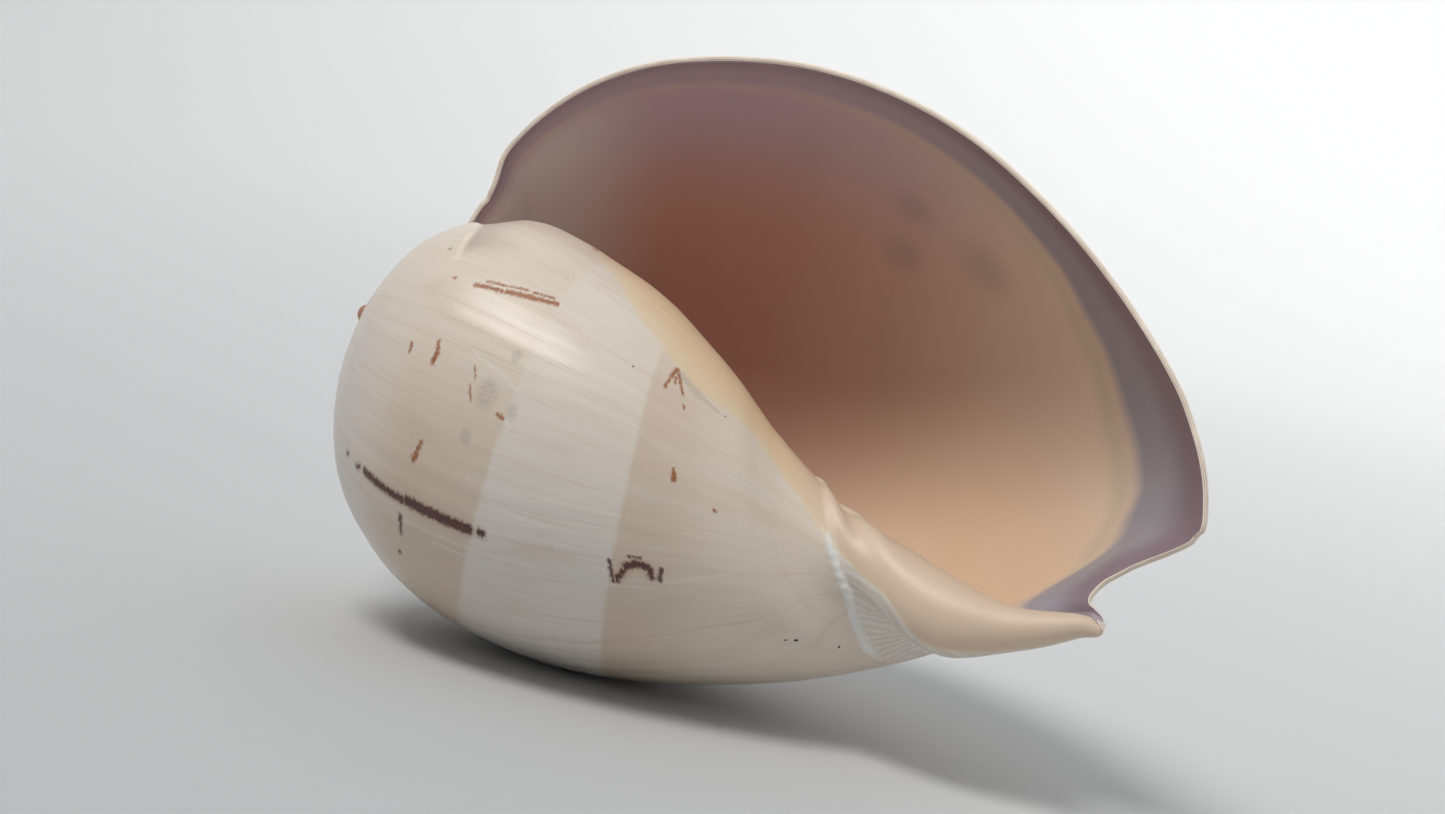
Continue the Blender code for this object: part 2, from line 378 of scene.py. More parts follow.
# The skin gathers points and faces, and for each face corner its place on the growing wall.
class Skin:
    def __init__(self):
        self.points = []
        self.count = 0
        self.faces = []
        self.places = []

    def add(self, rows):
        rows = np.asarray(rows).reshape(-1, 3)
        self.points.append(rows)
        self.count += len(rows)
        return list(range(self.count - len(rows), self.count))

    def face(self, corners, places):
        kept = [i for i in range(len(corners)) if corners[i] != corners[i - 1]]
        if len({corners[i] for i in kept}) > 2:
            self.faces.append([corners[i] for i in kept])
            self.places += [places[i] for i in kept]

    # Joins two rows, each a list of points and a list of their places.
    def strip(self, first, second):
        for c in range(len(first[0]) - 1):
            self.face(
                [first[0][c], second[0][c], second[0][c + 1], first[0][c + 1]],
                [first[1][c], second[1][c], second[1][c + 1], first[1][c + 1]],
            )

    def closeEnd(self, outer, inner):
        every = np.concatenate(self.points)
        runs = []
        for row in (outer[0], inner[0]):
            gaps = np.linalg.norm(np.diff(every[row], axis=0), axis=1)
            run = np.concatenate([[0.0], np.cumsum(gaps)])
            runs.append(run / run[-1])
        one = two = 0
        while one < len(outer[0]) - 1 or two < len(inner[0]) - 1:
            left = runs[0][one + 1] if one < len(outer[0]) - 1 else 9.0
            right = runs[1][two + 1] if two < len(inner[0]) - 1 else 9.0
            corners = [outer[0][one], inner[0][two]]
            places = [outer[1][one], inner[1][two]]
            if left < right:
                one += 1
                self.face(corners + [outer[0][one]], places + [outer[1][one]])
            else:
                two += 1
                self.face(corners + [inner[0][two]], places + [inner[1][two]])


# A row's places: its turn as a share of a whorl, and how far along the lip each column is.
def placesOf(turn, columns):
    return [(turn / fullTurn, float(column)) for column in columns]


# The way the wall grows on at the lip.
def lipAhead(columns):
    zero = np.array([[0.0]])
    ahead = (wall(zero, columns) - wall(zero - 1e-4, columns))[0]
    return ahead / np.linalg.norm(ahead, axis=1, keepdims=True)


def shellSkin():
    skin = Skin()
    columns = columnSteps()
    spireSteps = np.linspace(0, 1, shellDetail["spireColumns"] + 1)[None, :-1]
    even = np.linspace(0, 1, shellDetail["pillarColumns"] + 1)[None, 1:]
    pillarSteps = even / 2 + (1 - np.cos(math.pi * even)) / 4
    tipAlong = shellForm["lipProfile"][-1][0]
    turns = np.linspace(-fullTurn, 0.0, shellDetail["turnRows"] + 1)
    rowPlaces = np.concatenate([spireSteps[0] - 1, columns[0], 1 + pillarSteps[0]])
    first = spireSteps.shape[1]
    last = first + columns.shape[1] - 1

    lattice = turns[:-1, None]
    outside = np.concatenate([
        spireCap(lattice, spireSteps), outerWall(lattice, columns),
        pillar(lattice, tipAlong, 0.0, pillarSteps),
    ], 1)
    nub = skin.add(outside[0][0])[0]
    tip = skin.add(outside[0][-1])[0]
    rows = [[nub] + skin.add(row[1:-1]) + [tip] for row in outside]
    lip = outerWall(np.array([[0.0]]), columns)[0]
    pulled = lip - lipAhead(columns) * lipWear(columns[0])[:, None]
    lipRow = rows[0][:first + 1] + skin.add(pulled[1:-1])
    lipRow = lipRow + [tip] * (len(rows[0]) - len(lipRow))
    rows.append(lipRow)
    marked = [(row, placesOf(turn, rowPlaces)) for row, turn in zip(rows, turns)]
    for one, two in zip(marked[:-1], marked[1:]):
        skin.strip(one, two)
    outsideFaces = len(skin.faces)

    # The lip's edge, rounded over from the outer face to the inner one.
    inside = wallInside(np.array([[0.0]]), columns)[0]
    ahead = lipAhead(columns)
    thick = np.linalg.norm(inside - lip, axis=1, keepdims=True) / shellForm["lipThickness"]
    worn = lipWear(columns[0])[:, None]
    edgePlaces = placesOf(0.0, columns[0])
    before = (lipRow[first:last + 1], edgePlaces)
    for row in range(1, shellDetail["edgeRows"] + 1):
        share = row / shellDetail["edgeRows"]
        bulge = shellDetail["edgeRound"] * math.sin(math.pi * share) ** 0.7 if share < 1 else 0.0
        place = lip + (inside - lip) * share + ahead * (thick * bulge - worn)
        after = ([rows[0][first]] + skin.add(place[1:-1]) + [tip], edgePlaces)
        skin.strip(before, after)
        before = after
    edgeFaces = len(skin.faces)

    outer = before
    inner = (rows[0][first:], placesOf(-fullTurn, rowPlaces[first:]))
    # The cavity's rows lie closer together near the lip.
    shares = np.linspace(0, 1, shellDetail["cavityRows"] + 1) ** 1.25
    cavityTurns = -shellForm["cavityTurn"] * shares
    for turn in cavityTurns[1:]:
        spot = np.array([[turn]])
        back = fromLip(turn, shellForm["tipTurn"])
        end = wallRow(spot, np.array([[1.0]]))[0] - shellForm["tipGap"] * back
        whorl = innerWall(spot, columns)
        wallOut = wallRow(spot, np.array([[1.0]]))[1]
        endOut = np.minimum(pillarRadius(end, turn - fullTurn),
                            wallOut - shellForm["endWall"] * back)
        endOut = np.maximum(endOut, shellForm["endLeast"])
        pillarPart = pillar(spot - fullTurn, end, endOut, pillarSteps)
        nextInner = skin.add(np.concatenate([whorl, pillarPart], 1)[0])
        wallPart = wallInside(spot, columns)[0]
        nextOuter = [nextInner[0]] + skin.add(wallPart[1:-1]) + [nextInner[-1]]
        nextOuter = (nextOuter, placesOf(turn, columns[0]))
        nextInner = (nextInner, placesOf(turn - fullTurn, rowPlaces[first:]))
        skin.strip(outer, nextOuter)
        skin.strip(nextInner, inner)
        outer, inner = nextOuter, nextInner
    skin.closeEnd(outer, inner)
    return skin, outsideFaces, edgeFaces


def turnMatrix():
    matrix = Matrix.Identity(3)
    for axis, angle in shellRest["turns"]:
        matrix = Matrix.Rotation(math.radians(angle), 3, axis) @ matrix
    return matrix


def layDown(points):
    laid = points @ np.array(turnMatrix()).T + np.array(shellRest["move"])
    laid[:, 2] = np.maximum(laid[:, 2], 0.0)
    return laid * 0.001


# Raises the reliefs on the outside and returns what the glaze needs to know of them.
def addReliefs(skin, points, outsideFaces):
    places = np.zeros((len(points), 2))
    outer = np.zeros(len(points), bool)
    start = 0
    for number, face in enumerate(skin.faces):
        if number < outsideFaces:
            places[face] = skin.places[start:start + len(face)]
            outer[face] = True
        start += len(face)
    normals = pointNormals(points, skin.faces[:outsideFaces])
    ridge, away, along, worn = ridgeRelief(points)
    lipEnd, film, shade = lipEndRelief(points, places)
    inFront = (places[:, 0] < -0.3) & outer
    height = (ridge + lipEnd) * inFront
    pillarSide = np.where(places[:, 1] > ridgeStep(places[:, 0]), 1.0, -1.0)
    masks = {
        "worn": worn * inFront,
        "film": film * inFront,
        "shade": shade * inFront,
        "ridgeAway": np.clip(away, 0, 30) * pillarSide,
        "ridgeAlong": along,
    }
    return points + normals * height[:, None], masks


def ridgeStep(share):
    shares, steps = np.array(ridgeForm["path"]).T
    return np.interp(share, shares, steps)


def pointNormals(points, faces):
    normals = np.zeros_like(points)
    for face in faces:
        one, two, three = points[face[0]], points[face[1]], points[face[-1]]
        normals[face] += np.cross(two - one, three - one)
    return normals / np.maximum(np.linalg.norm(normals, axis=1, keepdims=True), 1e-12)


def makeShell():
    skin, outsideFaces, edgeFaces = shellSkin()
    points = np.concatenate(skin.points)
    points, masks = addReliefs(skin, points, outsideFaces)
    points = layDown(points)
    mesh = bpy.data.meshes.new("shellSkin")
    mesh.from_pydata(points.tolist(), [], skin.faces)
    shell = bpy.data.objects.new("shellSkin", mesh)
    bpy.context.scene.collection.objects.link(shell)
    grown = mesh.uv_layers.new(name="growth")
    grown.data.foreach_set("uv", np.array(skin.places, np.float32).ravel())
    # side is 0 outside, 1 inside, and from 0.4 up over the layers of the lip's edge.
    sides = np.zeros(len(skin.faces), np.float32)
    layers = shellDetail["edgeRows"]
    sides[outsideFaces:edgeFaces] = np.repeat(0.4 + 0.2 * np.arange(layers) / layers,
                                              (edgeFaces - outsideFaces) // layers)
    sides[edgeFaces:] = 1.0
    side = mesh.attributes.new("side", "FLOAT", "FACE")
    side.data.foreach_set("value", sides)
    slots = np.where(sides > 0.9, 2, np.where(sides > 0.3, 1, 0)).astype(np.int32)
    mesh.polygons.foreach_set("material_index", slots)
    for name, values in masks.items():
        mask = mesh.attributes.new(name, "FLOAT", "POINT")
        mask.data.foreach_set("value", values.astype(np.float32))
    mesh.shade_smooth()
    mesh.set_sharp_from_angle(angle=math.radians(60))
    print("shell skin made:", len(mesh.vertices), "points,", len(mesh.polygons), "faces")
    return shell


# One socket of a material, so that a sum or a product of sockets adds its own node.
class Wire:
    def __init__(self, paint, socket):
        self.paint = paint
        self.socket = socket

    def math(self, operation, *values):
        return self.paint.node("ShaderNodeMath", {"operation": operation}, dict(enumerate(values)))

    def __add__(self, other):
        return self.math("ADD", self, other)

    def __sub__(self, other):
        return self.math("SUBTRACT", self, other)

    def __rsub__(self, other):
        return self.math("SUBTRACT", other, self)

    def __mul__(self, other):
        return self.math("MULTIPLY", self, other)

    def __truediv__(self, other):
        return self.math("DIVIDE", self, other)

    __radd__ = __add__
    __rmul__ = __mul__

    def high(self, other):
        return self.math("MAXIMUM", self, other)

    def low(self, other):
        return self.math("MINIMUM", self, other)

    def size(self):
        return self.math("ABSOLUTE", self)

    # 0 below start, 1 above end, smooth between.
    def rise(self, start, end):
        settings = {"interpolation_type": "SMOOTHSTEP"}
        return self.paint.node(
            "ShaderNodeMapRange", settings,
            {"Value": self, "From Min": start, "From Max": end, "To Min": 0.0, "To Max": 1.0})

    # 1 at a place, falling to 0 at a distance of width on both sides.
    def near(self, place, width):
        return 1 - (self - place).size().rise(0.0, width)


class Paint:
    def __init__(self, name):
        self.material = bpy.data.materials.new(name)
        self.material.use_nodes = True
        self.tree = self.material.node_tree
        self.surface = self.tree.nodes["Principled BSDF"]

    def node(self, kind, settings, values, output=0):
        made = self.tree.nodes.new(kind)
        for name, value in settings.items():
            if name == "stops":
                self.setStops(made.color_ramp, value)
            else:
                setattr(made, name, value)
        for key, value in values.items():
            self.feed(made.inputs[key], value)
        return Wire(self, made.outputs[output])

    def setStops(self, ramp, stops):
        while len(ramp.elements) < len(stops):
            ramp.elements.new(1.0)
        for element, (place, value) in zip(ramp.elements, stops):
            element.position = place
            element.color = (value, value, value, 1.0)

    def feed(self, socket, value):
        if isinstance(value, Wire):
            self.tree.links.new(value.socket, socket)
        else:
            socket.default_value = value

    def set(self, name, value):
        self.feed(self.surface.inputs[name], value)

    def blend(self, first, second, share):
        first = (*first, 1.0) if isinstance(first, tuple) else first
        second = (*second, 1.0) if isinstance(second, tuple) else second
        settings = {"data_type": "RGBA", "blend_type": "MIX"}
        return self.node("ShaderNodeMix", settings, {0: share, 6: first, 7: second}, output=2)

    def value(self, name):
        return self.node("ShaderNodeAttribute", {"attribute_name": name}, {}, output="Fac")

    def part(self, vector, axis):
        return self.node("ShaderNodeSeparateXYZ", {}, {0: vector}, output=axis)

    # Reads a curve of negative shares, from -1 to 0, over a step from 0 to 2.
    def curve(self, where, points):
        stops = [(place / 2.0, 1.0 + value) for place, value in points]
        grey = self.node("ShaderNodeValToRGB", {"stops": stops}, {0: where * 0.5})
        return self.node("ShaderNodeSeparateColor", {}, {0: grey}) - 1.0

    # How far a place is from the nearest of some strokes' edges, below 0 inside one.
    def strokes(self, where, marks):
        nearest = None
        for start, end, half in marks:
            first = Vector((start[0] * markScale[0], start[1] * markScale[1], 0.0))
            way = Vector((end[0] * markScale[0], end[1] * markScale[1], 0.0)) - first
            share = way / way.length_squared
            offset = self.vectorMath("SUBTRACT", {0: where, 1: first[:]})
            place = self.vectorMath("DOT_PRODUCT", {0: offset, 1: share[:]}, output=1)
            spot = self.vectorMath("SCALE", {0: way[:], "Scale": place.high(0.0).low(1.0)})
            gap = self.vectorMath("DISTANCE", {0: offset, 1: spot}, output=1) - half
            nearest = gap if nearest is None else nearest.low(gap)
        return nearest

    # Soft round spots, each a place (share, step) and how far it reaches in millimetres.
    def spots(self, u, v, scale, marks, edge):
        where = self.vector(u * scale[0], v * scale[1])
        nearest = None
        for (share, step), reach in marks:
            centre = (share * scale[0], step * scale[1], 0.0)
            away = self.vectorMath("DISTANCE", {0: where, 1: centre}, output=1)
            spot = 1 - (away / reach).rise(*edge)
            nearest = spot if nearest is None else nearest.high(spot)
        return nearest

    def vectorMath(self, operation, values, output=0):
        return self.node("ShaderNodeVectorMath", {"operation": operation}, values, output)

    def vector(self, x, y, z=0.0):
        return self.node("ShaderNodeCombineXYZ", {}, {"X": x, "Y": y, "Z": z})

    def noise(self, where, scale, detail=3.0, roughness=0.5):
        values = {"Vector": where, "Scale": scale, "Detail": detail, "Roughness": roughness}
        return self.node("ShaderNodeTexNoise", {}, values)


shellLook = {
    "cream": (0.760, 0.660, 0.555),
    "tanBand": (0.610, 0.475, 0.370),
    "whiteBand": (0.745, 0.700, 0.650),
    "greyPink": (0.680, 0.635, 0.610),
    "restLine": (0.800, 0.760, 0.700),
    "callus": (0.815, 0.600, 0.385),
    "callusYellow": (0.810, 0.620, 0.350),
    "pillar": (0.680, 0.540, 0.425),
    "spire": (0.640, 0.520, 0.420),
    "nub": (0.420, 0.200, 0.110),
    "chalk": (0.830, 0.820, 0.780),
    "dark": (0.062, 0.017, 0.018),
    "rustAndChipShadow": (0.370, 0.125, 0.035),
    "scuff": (0.230, 0.215, 0.200),
    "pit": (0.030, 0.025, 0.020),
    "lipEndPaintedShade": (0.430, 0.310, 0.260),
    "edge": (0.880, 0.770, 0.650),
    "edgeLine": (0.520, 0.390, 0.300),
    "edgeRoughness": 0.5,
    "roughness": 0.30,
    "wornRougher": 0.35,
    "shine": 0.4,
    "bump": 0.35,
    "bumpDepth": 0.00022,
}
insideLook = {
    "mauve": (0.575, 0.430, 0.490),
    "deep": (0.700, 0.380, 0.295),
    "tan": (0.860, 0.620, 0.430),
    "peach": (0.850, 0.650, 0.490),
    "corner": (0.780, 0.760, 0.750),
    "orange": (0.800, 0.570, 0.330),
    "rim": (0.270, 0.190, 0.220),
    "rimBlue": (0.265, 0.270, 0.340),
    "line": (0.640, 0.540, 0.400),
    "smoke": (0.260, 0.210, 0.215),
    "roughness": 0.38,
    "shine": 0.4,
    "bump": 0.25,
    "bumpDepth": 0.0001,
}
# The steps where the white band starts and ends, and where the tan beyond it fades out.
bands = {"whiteFrom": (0.476, 0.488), "whiteTo": (0.683, 0.695), "tanTo": (0.72, 0.86)}
# How fine the growth lines are across a whorl's share and along a step.
lineScale = (380.0, 2.6)
# How long one whorl's share and one step are on the front of the body, in millimetres.
markScale = (270.0, 186.0)
# Marks are strokes between two places (share, step), with half their width in millimetres.
darkStrokes = [
    ((-0.6365, 0.262), (-0.6350, 0.334), 0.78), ((-0.6360, 0.343), (-0.6345, 0.442), 1.05),
    ((-0.6350, 0.458), (-0.6348, 0.463), 0.75), ((-0.6190, 0.659), (-0.6230, 0.659), 0.45),
    ((-0.6330, 0.240), (-0.6360, 0.247), 0.45), ((-0.6330, 0.209), (-0.6350, 0.212), 0.35),
    ((-0.6230, 0.664), (-0.6300, 0.672), 0.50), ((-0.6325, 0.674), (-0.6360, 0.688), 0.85),
    ((-0.6360, 0.690), (-0.6340, 0.703), 0.85), ((-0.6320, 0.706), (-0.6240, 0.706), 0.60),
    ((-0.6425, 0.680), (-0.6420, 0.697), 0.22),
    ((-0.6360, 0.6520), (-0.6185, 0.6525), 0.42), ((-0.6330, 0.7215), (-0.6220, 0.7160), 0.48),
    ((-0.6220, 0.3315), (-0.6060, 0.3300), 0.36), ((-0.5870, 0.3220), (-0.5860, 0.3225), 0.36),
    ((-0.2100, 0.300), (-0.2120, 0.390), 0.70), ((-0.3300, 0.650), (-0.3320, 0.700), 0.60),
]
rustStrokesAndChipShadow = [
    ((-0.8125, 0.338), (-0.8175, 0.380), 0.50), ((-0.8190, 0.388), (-0.8245, 0.432), 0.65),
    ((-0.8250, 0.436), (-0.8310, 0.480), 0.55), ((-0.8200, 0.350), (-0.8295, 0.420), 0.18),
    ((-0.8300, 0.430), (-0.8350, 0.470), 0.22), ((-0.8110, 0.296), (-0.8115, 0.299), 0.35),
    ((-0.8450, 0.226), (-0.8450, 0.229), 0.30),
    ((-0.6830, 0.3536), (-0.6740, 0.3500), 0.42), ((-0.6735, 0.3500), (-0.6690, 0.3460), 0.62),
    ((-0.7470, 0.2900), (-0.7410, 0.2920), 0.40), ((-0.7560, 0.3310), (-0.7480, 0.3370), 0.35),
    ((-0.7480, 0.3370), (-0.7400, 0.3350), 0.55), ((-0.7360, 0.4040), (-0.7260, 0.4120), 0.16),
    ((-0.8450, 0.7245), (-0.8300, 0.7180), 0.55), ((-0.8300, 0.7180), (-0.8140, 0.7130), 0.35),
    ((-0.8440, 0.7260), (-0.8320, 0.7350), 0.50), ((-0.8320, 0.7350), (-0.8190, 0.7450), 0.35),
    ((-0.8060, 0.7510), (-0.8040, 0.7520), 0.40), ((-0.8360, 0.7260), (-0.8260, 0.7270), 0.25),
    ((-0.7345, 0.7480), (-0.7290, 0.7482), 0.35), ((-0.7285, 0.7482), (-0.7235, 0.7485), 0.65),
    ((-0.6200, 0.6590), (-0.6280, 0.6660), 0.28), ((-0.9560, 0.4330), (-0.9570, 0.4360), 0.60),
    ((-0.7050, 0.8100), (-0.7040, 0.8110), 0.45), ((-0.4100, 0.330), (-0.4120, 0.385), 0.45),
    ((-0.1300, 0.690), (-0.1390, 0.700), 0.55), ((-0.2750, 0.400), (-0.2820, 0.404), 0.45),
    # The first stroke below is the painted shadow of a small chip in the glaze.
    ((-0.7240, 0.4610), (-0.7225, 0.4720), 0.30), ((-0.7500, 0.4000), (-0.7420, 0.4080), 0.12),
]
scrapes = [
    ((-0.8420, 0.7320), (-0.8330, 0.7700), 1.3), ((-0.8330, 0.7700), (-0.8310, 0.8090), 0.9),
]
paleScratchesAndChipHighlight = [
    # The first stroke below is a painted highlight on the lit edge of that chip; the rest are pale
    # scratches.
    ((-0.7215, 0.4740), (-0.7185, 0.4860), 0.32), ((-0.7600, 0.3900), (-0.7530, 0.4500), 0.12),
    ((-0.7530, 0.4500), (-0.7440, 0.4900), 0.14), ((-0.6130, 0.3800), (-0.6100, 0.5200), 0.14),
    ((-0.6150, 0.5800), (-0.6135, 0.7000), 0.12), ((-0.6600, 0.4700), (-0.6540, 0.5600), 0.12),
]
pits = [
    ((-0.8140, 0.6530), (-0.8140, 0.6531), 0.28), ((-0.8340, 0.8250), (-0.8340, 0.8251), 0.30),
    ((-0.5240, 0.8490), (-0.5240, 0.8495), 0.55), ((-0.5300, 0.8380), (-0.5300, 0.8384), 0.35),
    ((-0.8800, 0.2240), (-0.8800, 0.2242), 0.25), ((-0.8870, 0.2200), (-0.8870, 0.2202), 0.20),
    ((-0.0322, 0.1944), (-0.0322, 0.1946), 0.30), ((-0.0661, 0.3061), (-0.0661, 0.3063), 0.30),
    ((-0.1022, 0.7716), (-0.1022, 0.7718), 0.40), ((-0.4700, 0.8760), (-0.4700, 0.8764), 0.45),
]
scuffs = [
    ((-0.7710, 0.4590), 2.2), ((-0.7350, 0.4350), 4.2), ((-0.7300, 0.4830), 2.2),
    ((-0.7000, 0.4200), 2.2), ((-0.8360, 0.7700), 2.0),
]
# The same two lengths as in markScale, but near the lip, and the grey smudges inside it.
lipScale = (600.0, 260.0)
insideSmudges = [((-0.082, 0.535), 12.0), ((-0.103, 0.451), 9.0), ((-0.075, 0.450), 8.0)]
# Curves of shares over the step, from 0 to 2: where the callus ends, an old rest in the
# growth, and the line inside the lip.
callusEdge = [
    (0.10, -0.99), (0.30, -0.975), (0.42, -0.955), (0.5235, -0.9235), (0.635, -0.882),
    (0.758, -0.850), (0.860, -0.862), (0.925, -0.855), (0.970, -0.8295), (0.997, -0.765),
    (1.10, -0.722), (1.232, -0.714), (1.30, -0.665), (1.343, -0.6185), (1.456, -0.600),
    (1.611, -0.563), (2.0, -0.54),
]
restLine = [
    (0.20, -0.618), (0.34, -0.620), (0.73, -0.620), (0.807, -0.631), (0.857, -0.650), (0.95, -0.68),
]
insideLine = [
    (0.10, -0.018), (0.25, -0.0204), (0.369, -0.0249), (0.4325, -0.0276), (0.494, -0.0331),
    (0.54, -0.0357), (0.577, -0.0405), (0.603, -0.0426), (0.641, -0.0547), (0.674, -0.0596),
    (0.7225, -0.076), (0.764, -0.083), (0.807, -0.098), (0.827, -0.117), (0.90, -0.15),
]


# How much of each mark shows where, with edges that fray along the growth lines.
def markMask(paint, where, strokes, fray):
    return 1 - (paint.strokes(where, strokes) + fray).rise(-0.38, 0.55)


def outsidePaint(paint, look, u, v, spot, lines):
    where = paint.vector(u * markScale[0], v * markScale[1])
    bend = (u + 0.78).high(0.0).low(0.4)
    band = v + bend * bend * 1.7 + (paint.noise(paint.vector(u * 60, v * 3), 1.0) - 0.5) * 0.008
    shows = 0.15 + u.rise(-0.80, -0.64) * 0.85
    later = 0.25 + u.rise(-0.90, -0.80) * 0.75
    shoulder = v.rise(0.22, 0.34) * (1 - u.rise(-0.30, -0.02) * 0.3)
    tan = (1 - band.rise(*bands["whiteFrom"])) * shoulder * shows
    tan = tan + band.rise(*bands["whiteTo"]) * (1 - band.rise(*bands["tanTo"])) * later
    white = band.rise(*bands["whiteFrom"]) * (1 - band.rise(*bands["whiteTo"]))
    white = white * (0.3 + shows * 0.7)
    colour = paint.blend(look["cream"], look["tanBand"], tan * 0.62)
    colour = paint.blend(colour, look["whiteBand"], white * 0.75)
    left = (1 - v.rise(0.16, 0.34)) * u.rise(-0.86, -0.70)
    colour = paint.blend(colour, look["greyPink"], left * 0.7)
    broad = paint.noise(paint.vector(u * 34, v * 5), 1.0, 4.0, 0.6)
    colour = paint.blend(colour, look["whiteBand"], broad.rise(0.50, 0.75) * 0.35)
    colour = paint.blend(colour, look["tanBand"], broad.rise(0.50, 0.25) * 0.35)
    colour = paint.blend(colour, look["tanBand"], lines.rise(0.50, 0.75) * 0.55)
    rest = u - paint.curve(v, restLine)
    restShare = rest.near(0.0, 0.0035) * v.rise(0.28, 0.36) * (1 - v.rise(0.86, 0.93))
    colour = paint.blend(colour, look["restLine"], restShare * 0.28)
    past = (u + 0.548 + v.rise(0.35, 0.9) * 0.035 - paint.noise(where, 0.06) * 0.02)
    healed = past.near(0.0, 0.0028) * v.rise(0.34, 0.40)
    colour = paint.blend(colour, look["tanBand"], healed * 0.4)

    callus = (paint.curve(v, callusEdge) - u + (paint.noise(spot, 55.0) - 0.5) * 0.02)
    yellow = callus.near(0.002, 0.022) * v.rise(0.3, 0.6)
    colour = paint.blend(colour, look["callusYellow"], yellow * 0.6)
    colour = callusOn(paint, colour, v, callus.rise(-0.006, 0.028))

    # The worn front ridge, with the notch's old edges as crescents beside it.
    away = paint.value("ridgeAway")
    along = paint.value("ridgeAlong")
    worn = paint.value("worn")
    band = away.rise(0.6, 1.6) * (1 - callus.rise(-0.004, 0.004)) * u.rise(-0.83, -0.78)
    crescent = (along * 2.5 - away * 1.5 + paint.noise(spot, 160.0) * 5.0)
    crescent = paint.node("ShaderNodeMath", {"operation": "SINE"}, {0: crescent})
    colour = paint.blend(colour, look["chalk"], band * crescent.rise(-0.8, 1.0) * 0.55)
    colour = paint.blend(colour, look["greyPink"], band * crescent.rise(0.3, -0.9) * 0.35)
    scratch = paint.noise(paint.vector(away * 3.0, along * 0.35), 1.0, 4.0, 0.7)
    chalk = (worn + (scratch - 0.5) * 2.4).rise(0.30, 0.85)
    colour = paint.blend(colour, look["chalk"], chalk * worn.rise(0.02, 0.2))
    # Painted shade on the body beside the lip's end.
    colour = paint.blend(colour, look["lipEndPaintedShade"], paint.value("shade") * 0.8)
    colour = paint.blend(colour, look["edge"], paint.value("film") * 0.75)

    # The spire with its brown nub.
    colour = paint.blend(colour, look["spire"], (1 - v.rise(-0.25, 0.06)) * 0.7)
    colour = paint.blend(colour, look["nub"], 1 - v.rise(-0.90, -0.72))

    # Marks and wear, with the painted shadow and highlight of a small chip.
    ragged = paint.noise(where, 1.15, 3.0, 0.6)
    comb = paint.noise(paint.vector(u * 150, v * 330), 1.0, 2.0)
    fray = (ragged - 0.5) * 1.7 + (comb - 0.5) * 0.9
    # Pale scratches, and the painted highlight on the edge of the small chip.
    paleAndChipHighlight = markMask(paint, where, paleScratchesAndChipHighlight, (ragged - 0.5) * 0.8)
    colour = paint.blend(colour, look["restLine"], paleAndChipHighlight * 0.6)
    # Rust marks, and the painted shadow of the small chip.
    rustAndChipShadow = markMask(paint, where, rustStrokesAndChipShadow, fray)
    dark = markMask(paint, where, darkStrokes, fray)
    stain = paint.noise(where, 0.8).rise(0.35, 0.7)
    rustTone = paint.blend(look["rustAndChipShadow"], look["dark"], stain * 0.30)
    darkTone = paint.blend(look["dark"], look["rustAndChipShadow"], stain * 0.16)
    halo = 1 - (paint.strokes(where, darkStrokes[:10]) + fray * 0.6).rise(-0.2, 1.5)
    colour = paint.blend(colour, look["rustAndChipShadow"], halo * 0.30)
    colour = paint.blend(colour, rustTone, rustAndChipShadow * 0.94)
    colour = paint.blend(colour, darkTone, dark * 0.94)
    patch = paint.spots(u, v, markScale, scuffs, (0.4, 1.1))
    patch = patch.high(1 - (paint.strokes(where, scrapes) + (ragged - 0.5) * 2.0).rise(-0.6, 0.8))
    scribble = paint.noise(where, 2.0, 5.0, 0.8)
    scuff = patch * (scribble.near(0.5, 0.04) + scribble.rise(0.57, 0.64) * 0.8)
    colour = paint.blend(colour, look["scuff"], scuff.low(1.0) * 0.75)
    pit = 1 - (paint.strokes(where, pits) + fray * 0.12).rise(-0.1, 0.12)
    return paint.blend(colour, look["pit"], pit)


def insidePaint(paint, look, u, v, spot):
    cloud = paint.noise(spot, 14.0, 4.0, 0.55)
    depth = u * -1.0 + (cloud - 0.5) * 0.03
    line = paint.curve(v, insideLine)
    reach = u / line
    # The lining is painted darker and redder deeper in the mouth and towards its top: partly its
    # own colour, partly painted shade of the hollow under the outer lip.
    top = paint.blend(look["mauve"], look["deep"], depth.rise(0.035, 0.125))
    low = paint.blend(look["peach"], look["tan"], depth.rise(0.10, 0.22))
    colour = paint.blend(top, low, (v + (cloud - 0.5) * 0.12 + depth * 0.25).rise(0.30, 0.68))
    dip = v - 0.69 - (depth - 0.19) * 0.3
    orange = (dip.near(0.0, 0.05) * depth.rise(0.12, 0.17) * (1 - depth.rise(0.22, 0.27)))
    colour = paint.blend(colour, look["orange"], orange * cloud.rise(0.35, 0.65) * 0.5)
    corner = (1 - v.rise(0.09, 0.23)) * depth.rise(0.0, 0.04)
    colour = paint.blend(colour, look["corner"], corner * 0.9)
    side = v.rise(0.30, 0.62)
    colour = paint.blend(colour, look["line"], reach.near(1.08, 0.28) * (0.25 + side * 0.4))
    blue = (1 - reach.rise(0.75, 1.0)) * (0.35 + side * 0.55)
    colour = paint.blend(colour, look["rimBlue"], blue * 0.92)
    rim = (1 - reach.rise(0.10, 0.55)) * (0.45 + side * 0.45)
    colour = paint.blend(colour, look["rim"], rim)
    smoke = paint.noise(spot, 30.0, 5.0, 0.65).rise(0.55, 0.75)
    smudge = paint.spots(u, v, lipScale, insideSmudges, (0.1, 1.0))
    smoke = (smudge * 0.25 + smoke * 0.10) * (1 - v.rise(0.6, 0.7))
    colour = paint.blend(colour, look["smoke"], smoke)
    whorl = callusOn(paint, shellLook["cream"], v, 1.0)
    # Further in, the inner whorl turns the same deep red-brown: partly its colour, partly painted
    # shade of the hollow.
    whorl = paint.blend(whorl, look["deep"], 1 - u.rise(-1.12, -1.01))
    return paint.blend(whorl, colour, u.rise(-0.97, -0.95))


